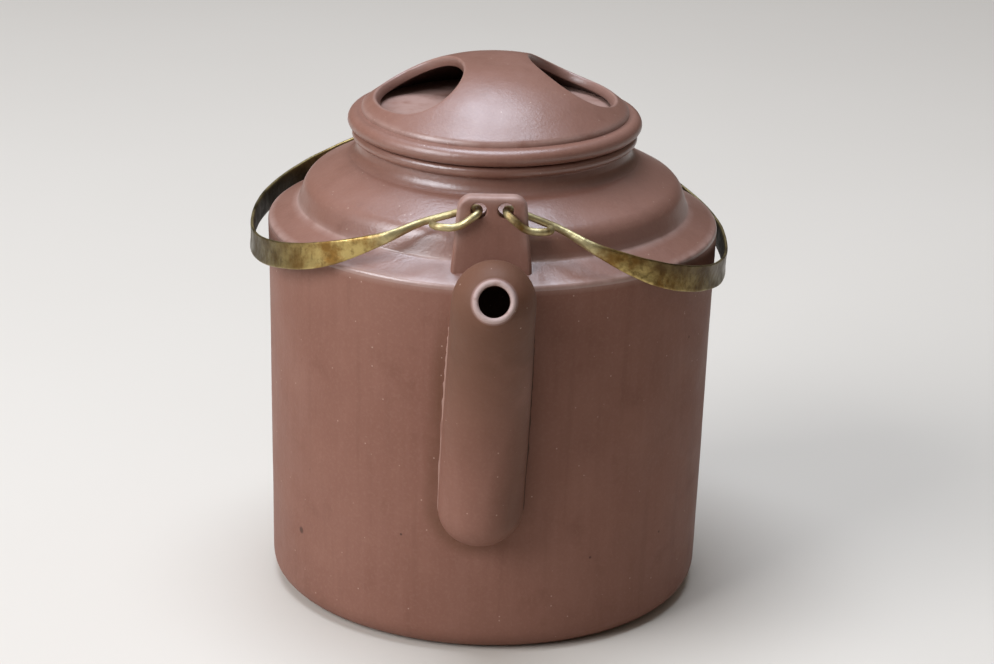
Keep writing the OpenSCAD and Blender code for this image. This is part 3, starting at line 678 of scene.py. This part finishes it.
def make_dome():
    """Thin dome over the lid, cut by two ovals with rounded rims."""
    side = fine(rounded([
        (LID_DOME_R, LID_Z + LID_PLATE_T, 0), (LID_DOME_R, LID_FOOT_Z, LID_FOOT_ROUND),
        (CROWN_R, LID_TOP_Z, CROWN_ROUND), (0, LID_TOP_Z, 0),
    ], DOME_ARC_STEPS), DOME_STEP)[::-1]
    s = lengths(side)
    t = np.gradient(side, s, axis=0)
    t /= np.linalg.norm(t, axis=1)[:, None]
    normal = np.stack([-t[:, 1], t[:, 0]], 1)
    grows = np.maximum.accumulate(side[:, 0]) + np.arange(len(side)) * 1e-9

    def lift(flat, drop):
        """Places points of the flat pattern on the dome, sunk below its face by drop."""
        d = np.linalg.norm(flat, axis=1)
        way = flat / np.maximum(d, 1e-9)[:, None]
        r = np.interp(d, s, side[:, 0]) - drop * np.interp(d, s, normal[:, 0])
        z = np.interp(d, s, side[:, 1]) - drop * np.interp(d, s, normal[:, 1])
        return np.stack([way[:, 0] * r, way[:, 1] * r, z], 1)

    def oval(turn, more):
        """Rim of an opening, grown by more, in the flat pattern."""
        a = circle(OPEN_SIDES)
        mid, half = (OPEN_IN + OPEN_OUT) / 2, (OPEN_OUT - OPEN_IN) / 2
        x, y = mid + (half + more) * np.cos(a), (OPEN_HALF + more) * np.sin(a)
        c, k = math.cos(turn), math.sin(turn)
        plan = np.stack([c * x - k * y, k * x + c * y], 1)
        r = np.linalg.norm(plan, axis=1)
        return plan / r[:, None] * np.interp(r, grows, s)[:, None]

    # Outer and inner face, filled in alike between the foot and the two openings
    turns = [math.radians(LID_TURN), math.radians(LID_TURN + 180)]
    a = circle(DOME_SIDES)
    foot_loop = s[-1] * np.stack([np.cos(a), np.sin(a)], 1)
    rims = [oval(turn, OPEN_ROUND) for turn in turns]
    keep_off = [oval(turn, OPEN_ROUND + OPEN_CLEAR) for turn in turns]
    extra = [np.zeros(2)]
    for d in np.arange(DOME_ROW, s[-1] - 0.5, DOME_ROW):
        n = max(6, int(round(2 * math.pi * d / DOME_SPACING)))
        for k in range(n):
            angle = 2 * math.pi * (k + 0.5 * (round(d / DOME_ROW) % 2)) / n
            p = d * np.array([math.cos(angle), math.sin(angle)])
            if not any(inside(p, loop) for loop in keep_off):
                extra.append(p)
    extra = np.array(extra)
    sheet_faces = fill([foot_loop] + rims, extra)
    flat = np.vstack([foot_loop] + rims + [extra])
    count = len(flat)
    points = np.vstack([lift(flat, 0), lift(flat, LID_DOME_T)])
    faces = [list(f) for f in sheet_faces] + [[v + count for v in f][::-1] for f in sheet_faces]
    faces += band(range(DOME_SIDES), range(count, count + DOME_SIDES))
    # The inner face and the inner half of each opening's rim are marked deep, for painted shade
    deep = np.repeat([0.0, 1.0], count)
    from_axis = np.hypot(points[:, 0], points[:, 1])
    foot = np.hypot(from_axis - LID_DOME_R, points[:, 2] - LID_FOOT_Z)
    foot_rub = np.clip(DOME_FOOT_RUB - foot / DOME_FOOT_REACH, 0, DOME_FOOT_RUB_MOST)
    rub = np.where(deep > 0, 0.0, foot_rub)

    # Rounded rim of each opening, from the outer face over to the inner one
    start = DOME_SIDES
    for turn in turns:
        last = list(range(start, start + OPEN_SIDES))
        for k in range(1, 2 * OPEN_STEPS + 1):
            b = (k if k <= OPEN_STEPS else 2 * OPEN_STEPS - k) / OPEN_STEPS * math.pi / 2
            if k <= OPEN_STEPS:
                drop = OPEN_ROUND * (1 - math.cos(b))
            else:
                drop = LID_DOME_T - OPEN_BACK_ROUND * (1 - math.cos(b))
            if k == 2 * OPEN_STEPS:
                ids = list(range(count + start, count + start + OPEN_SIDES))
            else:
                ids = list(range(len(points), len(points) + OPEN_SIDES))
                points = np.vstack([points, lift(oval(turn, OPEN_ROUND * (1 - math.sin(b))), drop)])
                rim_rub = max(0.0, 1 - abs(k - OPEN_STEPS * 0.6) / OPEN_STEPS)
                rub = np.concatenate([rub, np.full(OPEN_SIDES, rim_rub)])
                deep = np.concatenate([deep, np.full(OPEN_SIDES, max(0.0, k / OPEN_STEPS - 1))])
            faces += band(last, ids)
            last = ids
        start += OPEN_SIDES
    add_mesh("clay_lid_dome", points, faces, "lid", ["lid_dome"],
             {"rub": rub * DOME_RUB, "deep": deep})


def bail_path():
    """Middle line of a bail in its own plane, from one eye's tip to the other's."""
    def sag(x, v):
        drop = EYE_SAG * (1 - math.cos(2 * math.pi * min(x / EYE_L, 1))) / 2
        return np.array([x, v - EAR_MID, -drop])

    eye_mid = EYE_L - EYE_HALF
    half = []
    for i in range(EYE_STEPS + 1):
        a = math.radians(EYE_TIP - (EYE_TIP + 90) * i / EYE_STEPS)
        half.append(sag(eye_mid + EYE_HALF * math.cos(a), EYE_HALF * math.sin(a)))
    for i in range(1, TURN_STEPS + 1):
        half.append(sag(eye_mid + (EYE_ROUND - eye_mid) * i / TURN_STEPS, -EYE_HALF))
    for i in range(1, TURN_STEPS + 1):
        a = math.radians(270 - 90 * i / TURN_STEPS)
        v = EYE_ROUND - EYE_HALF + EYE_ROUND * math.sin(a)
        half.append(sag(EYE_ROUND + EYE_ROUND * math.cos(a), v))
    for i in range(TURN_STEPS + 1):
        a = math.radians(180 - 90 * i / TURN_STEPS)
        y = EYE_HALF - EYE_ROUND - EAR_MID + EYE_ROUND * math.sin(a)
        half.append(np.array([EYE_ROUND + EYE_ROUND * math.cos(a), y, 0]))
    arm = EAR_MID - EYE_HALF
    first = math.asin((ARCH_X / BAIL_REACH) ** (BAIL_POWER / 2))
    for i in range(ARCH_STEPS + 1):
        a = first + (math.pi / 2 - first) * i / ARCH_STEPS
        x = BAIL_REACH * math.sin(a) ** (2 / BAIL_POWER)
        y = (arm + BAIL_BOW) * max(1 - (x / BAIL_REACH) ** BAIL_POWER, 0) ** (1 / BAIL_POWER)
        half.append(np.array([x, BAIL_BOW * (1 - float(ease((x - EYE_L) / BOW_L))) - y, 0]))
    half = np.array(half)
    whole = np.vstack([half, (half * [1, -1, 1])[-2::-1]])
    s = lengths(whole)
    at = np.linspace(0, s[-1], int(s[-1] / BAIL_STEP))
    path = np.stack([np.interp(at, s, whole[:, k]) for k in range(3)], 1)
    for _ in range(SMOOTHINGS):
        path[1:-1] = path[1:-1] / 2 + (path[:-2] + path[2:]) / 4
    return path


def make_bail(name, node, side, droop, tarnished):
    """A wire with an eye at each end, beaten flat into a grip in the middle."""
    path = bail_path()
    along = np.gradient(path, axis=0)
    along /= np.linalg.norm(along, axis=1)[:, None]
    a = 2 * math.pi * (np.arange(WIRE_SIDES) + 0.5) / WIRE_SIDES
    rings, face_out, reach, height = [], [], [], []
    for i, (p, t) in enumerate(zip(path, along)):
        on_arch = abs(p[1]) < EAR_MID and p[0] > ARCH_X and abs(p[2]) < TINY
        flat = float(ease((p[0] - GRIP_START) / GRIP_TAPER)) if on_arch else 0.0
        up = np.array([0, 0, 1.0]) - t * t[2]
        up /= np.linalg.norm(up)
        out = np.cross(t, up)
        lean = math.radians(GRIP_LEAN) * flat
        wide = math.sin(lean) * out - math.cos(lean) * up
        thick = np.cross(t, wide)
        even_w = WIRE_R + (GRIP_W / 2 - WIRE_R) * flat
        half_w = even_w + BEAT * flat * noise.noise(Vector((i * BEAT_RATE, side * 4.0, 0.5)))
        half_t = WIRE_R + (GRIP_T / 2 - WIRE_R) * flat
        power = 1 + (GRIP_POWER - 1) * flat
        mid = p + up * WIRE_R + wide * even_w
        from_end = min(i, len(path) - 1 - i)
        cap = END_CAPS[from_end] if from_end < len(END_CAPS) else 1.0
        c = np.sign(np.cos(a)) * np.abs(np.cos(a)) ** power
        k = np.sign(np.sin(a)) * np.abs(np.sin(a)) ** power
        bow = -GRIP_HOLLOW * flat * c ** 2
        across = wide * half_w * c[:, None] + thick * (half_t * k + bow)[:, None]
        rings.append(mid + cap * across)
        face_out.append(k * np.sign(thick @ out))
        reach.append(np.full(WIRE_SIDES, max(p[0], 0) / BAIL_REACH * flat))
        height.append(c)
    points = np.vstack(rings)
    far = np.concatenate(reach)
    inner = np.clip(-np.concatenate(face_out), 0, 1) * far
    edge = np.tile(np.abs(np.cos(a)) ** 6, len(path)) * far
    low = np.clip(TARNISH_LOW - np.concatenate(height), 0, 1)
    tarnish = low * fade(far, *TARNISH_FAR) * tarnished
    angle = math.radians(droop)
    x = points[:, 0] * math.cos(angle) + points[:, 2] * math.sin(angle)
    z = points[:, 2] * math.cos(angle) - points[:, 0] * math.sin(angle)
    points = np.stack([side * (x + HINGE_X), points[:, 1], z + HINGE_Z], 1)
    add_mesh(name, points, sweep(rings), node, [node],
             {"inner": inner, "far": far, "edge": edge, "tarnish": tarnish}, uneven=False)


class Nodes:
    """Short way to build a material's node tree."""

    def __init__(self, name):
        self.material = bpy.data.materials.new(name)
        self.material.use_nodes = True
        self.tree = self.material.node_tree
        self.shader = self.tree.nodes["Principled BSDF"]
        self.where = self.add("ShaderNodeTexCoord").outputs["Object"]

    def add(self, kind, **settings):
        node = self.tree.nodes.new(kind)
        for key, value in settings.items():
            setattr(node, key, value)
        return node

    def link(self, source, target):
        self.tree.links.new(source, target)

    def value(self, node, socket, value):
        """Links a socket to another one, or sets it to a plain value."""
        if isinstance(value, bpy.types.NodeSocket):
            self.link(value, node.inputs[socket])
        else:
            node.inputs[socket].default_value = value

    def noise(self, scale, detail=3.0, rough=0.55, stretch=None):
        node = self.add("ShaderNodeTexNoise")
        node.inputs["Scale"].default_value = scale
        node.inputs["Detail"].default_value = detail
        node.inputs["Roughness"].default_value = rough
        source = self.where
        if stretch:
            mapping = self.add("ShaderNodeMapping")
            mapping.inputs["Scale"].default_value = stretch
            self.link(self.where, mapping.inputs["Vector"])
            source = mapping.outputs["Vector"]
        self.link(source, node.inputs["Vector"])
        return node.outputs["Fac"]

    def spots(self, scale, size, share):
        """Small round spots in some cells of a random pattern."""
        cells = self.add("ShaderNodeTexVoronoi")
        cells.inputs["Scale"].default_value = scale
        self.link(self.where, cells.inputs["Vector"])
        near = self.ramp(cells.outputs["Distance"], size * 1.3, size * 0.5)
        pick = self.add("ShaderNodeSeparateColor")
        self.link(cells.outputs["Color"], pick.inputs["Color"])
        chosen = self.math("LESS_THAN", pick.outputs["Red"], share)
        return self.math("MULTIPLY", near, chosen)

    def ramp(self, value, low, high):
        """Runs smoothly from 0 at low to 1 at high, whichever of them is the smaller."""
        node = self.add("ShaderNodeMapRange", interpolation_type="SMOOTHSTEP")
        self.link(value, node.inputs["Value"])
        node.inputs["From Min"].default_value = min(low, high)
        node.inputs["From Max"].default_value = max(low, high)
        if low > high:
            node.inputs["To Min"].default_value = 1.0
            node.inputs["To Max"].default_value = 0.0
        return node.outputs["Result"]

    def math(self, operation, a, b=0.0):
        node = self.add("ShaderNodeMath", operation=operation)
        self.value(node, 0, a)
        self.value(node, 1, b)
        return node.outputs[0]

    def times(self, a, b):
        return self.math("MULTIPLY", a, b)

    def mix(self, share, a, b):
        node = self.add("ShaderNodeMix", data_type="RGBA")
        self.value(node, 0, share)
        for index, colour in ((6, a), (7, b)):
            if isinstance(colour, bpy.types.NodeSocket):
                self.link(colour, node.inputs[index])
            else:
                node.inputs[index].default_value = (*colour, 1.0)
        return node.outputs[2]

    def over(self, colour, tint, share, most):
        """Lays a tint over a colour, where share runs from 0 to 1, covering it by most at 1."""
        return self.mix(self.times(share, most), colour, tint)

    def axes(self):
        node = self.add("ShaderNodeSeparateXYZ")
        self.link(self.where, node.inputs["Vector"])
        return node.outputs["X"], node.outputs["Y"], node.outputs["Z"]

    def attribute(self, name):
        return self.add("ShaderNodeAttribute", attribute_name=name).outputs["Fac"]

    def bump(self, height, distance, strength=1.0, after=None):
        node = self.add("ShaderNodeBump")
        node.inputs["Strength"].default_value = strength
        node.inputs["Distance"].default_value = distance
        self.link(height, node.inputs["Height"])
        if after:
            self.link(after, node.inputs["Normal"])
        return node.outputs["Normal"]


def lute(n, colour):
    """Joint of the spout with the wall: a pale ridge on its left, and painted shade as a dark line
    elsewhere.
    """
    x, y, z = n.axes()
    out = n.math("SQRT", n.math("ADD", n.times(x, x), n.times(y, y)))
    wall = n.math("ADD", n.times(z, (BODY_R - FOOT_R) / WALL_H), FOOT_R * MM)
    gap = n.math("SUBTRACT", out, wall)
    left = n.ramp(x, -6 * MM, -10 * MM)
    ridge = n.times(left, n.ramp(gap, 3.6 * MM, 1.2 * MM))
    ridge = n.times(ridge, n.ramp(n.noise(120, 3), 0.2, 0.5))
    # Painted shade: a dark line along the joint's right and lower edge
    groove_shade = n.times(n.ramp(gap, 1.2 * MM, 0.2 * MM), n.math("SUBTRACT", 1.0, left))
    colour = n.over(colour, LUTE_RIDGE, ridge, 0.65)
    return n.over(colour, LUTE_SHADE_PAINT, groove_shade, 0.85)


def clay_material(name, burnish, luted=False, pit=None):
    """Unglazed purple-brown stoneware, burnished from 0 to 1, with faint blotches, grit, pale wear,
    painted light and painted shade.

    It also shows the spout's joint if luted, with painted shade along it, and a dark pit at a place if
    one is given.
    """
    n = Nodes(name)
    broad, middle, grain = n.noise(17, 3), n.noise(75, 4, 0.6), n.noise(1100, 2)
    streak = n.noise(330, 3, 0.5, (1, 1, 0.07))
    colour = n.mix(n.ramp(broad, 0.3, 0.72), CLAY, WARM_CLAY)
    colour = n.over(colour, PALE_BLOTCH, n.ramp(middle, 0.5, 0.74), 0.25)
    colour = n.over(colour, DARK_BLOTCH, n.ramp(middle, 0.46, 0.26), 0.30)
    colour = n.over(colour, PALE_GRAIN, n.ramp(grain, 0.45, 0.75), 0.20)
    colour = n.over(colour, PALE_STREAK, n.ramp(streak, 0.52, 0.72), 0.13)
    colour = n.over(colour, DARK_STREAK, n.ramp(streak, 0.46, 0.28), 0.14)
    # Painted shade on the spout and on the wall beside it
    stain = n.times(n.attribute("stain"), n.ramp(n.noise(46, 3), 0.1, 0.5))
    colour = n.over(colour, SHADE_PAINT, stain, 0.70)
    # Pale wear on edges, and painted light over the lid plate
    rub = n.times(n.attribute("rub"), n.ramp(n.noise(150, 3), 0.1, 0.6))
    colour = n.over(colour, RUBBED_AND_LIT, rub, 0.75)
    worn = n.times(n.attribute("worn"), n.ramp(n.noise(240, 3), 0.1, 0.45))
    colour = n.over(colour, WORN, worn, 0.9)
    # Painted shade over the inside of the lid's dome
    colour = n.over(colour, INSIDE_SHADE_PAINT, n.attribute("deep"), 0.85)
    if luted:
        colour = lute(n, colour)
    if pit:
        away = n.add("ShaderNodeVectorMath", operation="DISTANCE")
        n.link(n.where, away.inputs[0])
        away.inputs[1].default_value = Vector(pit) * MM
        colour = n.over(colour, PIT, n.ramp(away.outputs["Value"], 1.4 * MM, 0.6 * MM), 0.75)
    colour = n.over(colour, PALE_GRIT, n.spots(620, 0.15, 0.045), 0.6)
    colour = n.over(colour, DARK_GRIT, n.spots(300, 0.12, 0.018), 0.75)
    n.link(colour, n.shader.inputs["Base Color"])
    patchy = n.times(n.ramp(n.noise(60, 4), 0.3, 0.7), 0.11)
    n.link(n.math("ADD", patchy, 0.50 - 0.21 * burnish), n.shader.inputs["Roughness"])
    n.shader.inputs["Specular IOR Level"].default_value = 0.15 + 0.8 * burnish
    fine_bump = n.bump(grain, 0.05 * MM)
    coarse_bump = n.bump(n.noise(210, 3), 0.16 * MM, 1 - 0.6 * burnish, fine_bump)
    n.link(coarse_bump, n.shader.inputs["Normal"])
    return n.material


def brass_material():
    """Worn brass: bright wire and edges, a mottled grip, dark on its inside and far end."""
    n = Nodes("worn_brass")
    blotch, spot = n.noise(150, 5, 0.6), n.noise(620, 3)
    far, inner, edge = n.attribute("far"), n.attribute("inner"), n.attribute("edge")
    colour = n.mix(n.ramp(blotch, 0.36, 0.64), BROWN_BRASS, YELLOW_BRASS)
    colour = n.over(colour, SPOTTED, n.ramp(spot, 0.5, 0.68), 0.5)
    dull = n.times(n.ramp(far, 0.62, 1.0), n.ramp(blotch, 0.05, 0.45))
    colour = n.over(colour, DULLED, dull, 0.88)
    tarnish = n.times(n.attribute("tarnish"), n.ramp(n.noise(90, 4), 0.15, 0.5))
    colour = n.over(colour, TARNISHED, tarnish, 0.8)
    colour = n.over(colour, INNER_FACE, inner, 0.9)
    wire = n.times(n.ramp(far, 0.22, 0.02), n.ramp(blotch, 0.25, 0.6))
    colour = n.over(colour, BRIGHT_WIRE, wire, 0.75)
    bright = n.times(edge, n.ramp(n.noise(120, 3), 0.3, 0.6))
    colour = n.over(colour, BRIGHT_EDGE, bright, 0.5)
    n.link(colour, n.shader.inputs["Base Color"])
    n.shader.inputs["Metallic"].default_value = 1.0
    rough = n.math("ADD", n.times(n.ramp(blotch, 0.7, 0.3), 0.22), 0.32)
    rough = n.math("ADD", rough, n.times(wire, 0.1))
    rough = n.math("ADD", rough, n.times(inner, 0.2))
    n.link(rough, n.shader.inputs["Roughness"])
    n.link(n.bump(n.noise(330, 4), 0.25 * MM), n.shader.inputs["Normal"])
    return n.material


def floor_material():
    """Plain pale floor with the faintest unevenness."""
    n = Nodes("pale_floor")
    n.link(n.mix(n.noise(3, 4), FLOOR_DARK, FLOOR_PALE), n.shader.inputs["Base Color"])
    n.shader.inputs["Roughness"].default_value = FLOOR_ROUGH
    return n.material


def make_stage():
    """Pale floor."""
    mesh = bpy.data.meshes.new("floor")
    h = FLOOR_HALF
    mesh.from_pydata([(-h, -h, 0), (h, -h, 0), (h, h, 0), (-h, h, 0)], [], [(0, 1, 2, 3)])
    mesh.materials.append(floor_material())
    floor = bpy.data.objects.new("floor", mesh)
    bpy.context.scene.collection.objects.link(floor)


def add_light(name, place, target, size, power, colour):
    """A soft square lamp that faces a point."""
    data = bpy.data.lights.new(name, "AREA")
    data.shape = "SQUARE"
    data.size = size
    data.energy = power
    data.color = colour
    lamp = bpy.data.objects.new(name, data)
    lamp.location = place
    way = Vector(target) - Vector(place)
    lamp.rotation_euler = way.to_track_quat("-Z", "Y").to_euler()
    bpy.context.scene.collection.objects.link(lamp)


def make_light():
    """Soft daylight from above and the left, under a pale sky that dims towards the horizon."""
    world = bpy.data.worlds.new("surround")
    world.use_nodes = True
    tree = world.node_tree
    back = tree.nodes["Background"]
    place = tree.nodes.new("ShaderNodeTexCoord")
    way = tree.nodes.new("ShaderNodeSeparateXYZ")
    tree.links.new(place.outputs["Generated"], way.inputs["Vector"])
    tint = tree.nodes.new("ShaderNodeMix")
    tint.data_type = "RGBA"
    tint.inputs[6].default_value = HORIZON_TINT
    tint.inputs[7].default_value = ZENITH_TINT
    tree.links.new(way.outputs["Z"], tint.inputs[0])
    tree.links.new(tint.outputs[2], back.inputs["Color"])
    horizon = tree.nodes.new("ShaderNodeMapRange")
    horizon.inputs["From Min"].default_value = -1.0
    horizon.inputs["From Max"].default_value = 1.0
    horizon.inputs["To Min"].default_value = HORIZON_LEFT
    horizon.inputs["To Max"].default_value = HORIZON_RIGHT
    tree.links.new(way.outputs["X"], horizon.inputs["Value"])
    level = tree.nodes.new("ShaderNodeMapRange")
    level.inputs["To Max"].default_value = ZENITH_LEVEL
    tree.links.new(way.outputs["Z"], level.inputs["Value"])
    tree.links.new(horizon.outputs["Result"], level.inputs["To Min"])
    tree.links.new(level.outputs["Result"], back.inputs["Strength"])
    bpy.context.scene.world = world
    add_light("key", KEY_PLACE, KEY_TARGET, KEY_SIZE, KEY_POWER, KEY_COLOUR)
    add_light("sky", SKY_PLACE, SKY_TARGET, SKY_SIZE, SKY_POWER, SKY_COLOUR)


def make_camera():
    """Camera at the photograph's place, with its framing."""
    data = bpy.data.cameras.new("camera")
    data.sensor_width = SENSOR_W
    data.lens = FOCAL_PX * SENSOR_W / IMAGE_W
    data.clip_end = CAMERA_SIGHT
    ahead = math.cos(PITCH)
    forward = Vector((math.sin(YAW) * ahead, math.cos(YAW) * ahead, -math.sin(PITCH)))
    right = Vector((math.cos(YAW), -math.sin(YAW), 0))
    up = right.cross(forward)
    tilted_right = right * math.cos(ROLL) + up * math.sin(ROLL)
    tilted_up = up * math.cos(ROLL) - right * math.sin(ROLL)
    place = Matrix((tilted_right, tilted_up, -forward)).transposed().to_4x4()
    place.translation = Vector((0, -CAMERA_BACK, CAMERA_UP))
    camera = bpy.data.objects.new("camera", data)
    camera.matrix_world = place
    bpy.context.scene.collection.objects.link(camera)
    bpy.context.scene.camera = camera


make_camera()
make_light()
make_stage()
make_pot()
make_spout()
make_ear("clay_front_ear", "front_ear", False)
make_ear("clay_rear_ear", "rear_ear", True)
make_lid()
make_bail("brass_left_bail", "left_bail", -1, LEFT_DROOP, LEFT_TARNISH)
make_bail("brass_right_bail", "right_bail", 1, RIGHT_DROOP, RIGHT_TARNISH)

# The first word found in the name of a piece or CAD node gives its finish, or else it is matt
matt_clay = clay_material("stoneware_matt", 0.0)
lid_clay = clay_material("stoneware_lid", 0.85)
shoulder_clay = clay_material("stoneware_shoulder", 1.0)
FINISHES = [
    ("bail", brass_material()),
    ("wall", clay_material("stoneware_wall", 0.0, pit=WALL_PIT)),
    ("spout", clay_material("stoneware_spout", 0.05, luted=True)),
    ("_ear", clay_material("stoneware_ear", 0.4)),
    ("lid_plate", matt_clay),
    ("lid", lid_clay),
    ("shoulder", shoulder_clay),
    ("neck", shoulder_clay),
    ("mouth", shoulder_clay),
]
for piece in bpy.data.objects:
    if piece.type == "MESH" and piece.name != "floor":
        finish = next((m for word, m in FINISHES if word in piece.name), matt_clay)
        piece.data.materials.clear()
        piece.data.materials.append(finish)

bpy.context.scene.view_settings.view_transform = "Standard"
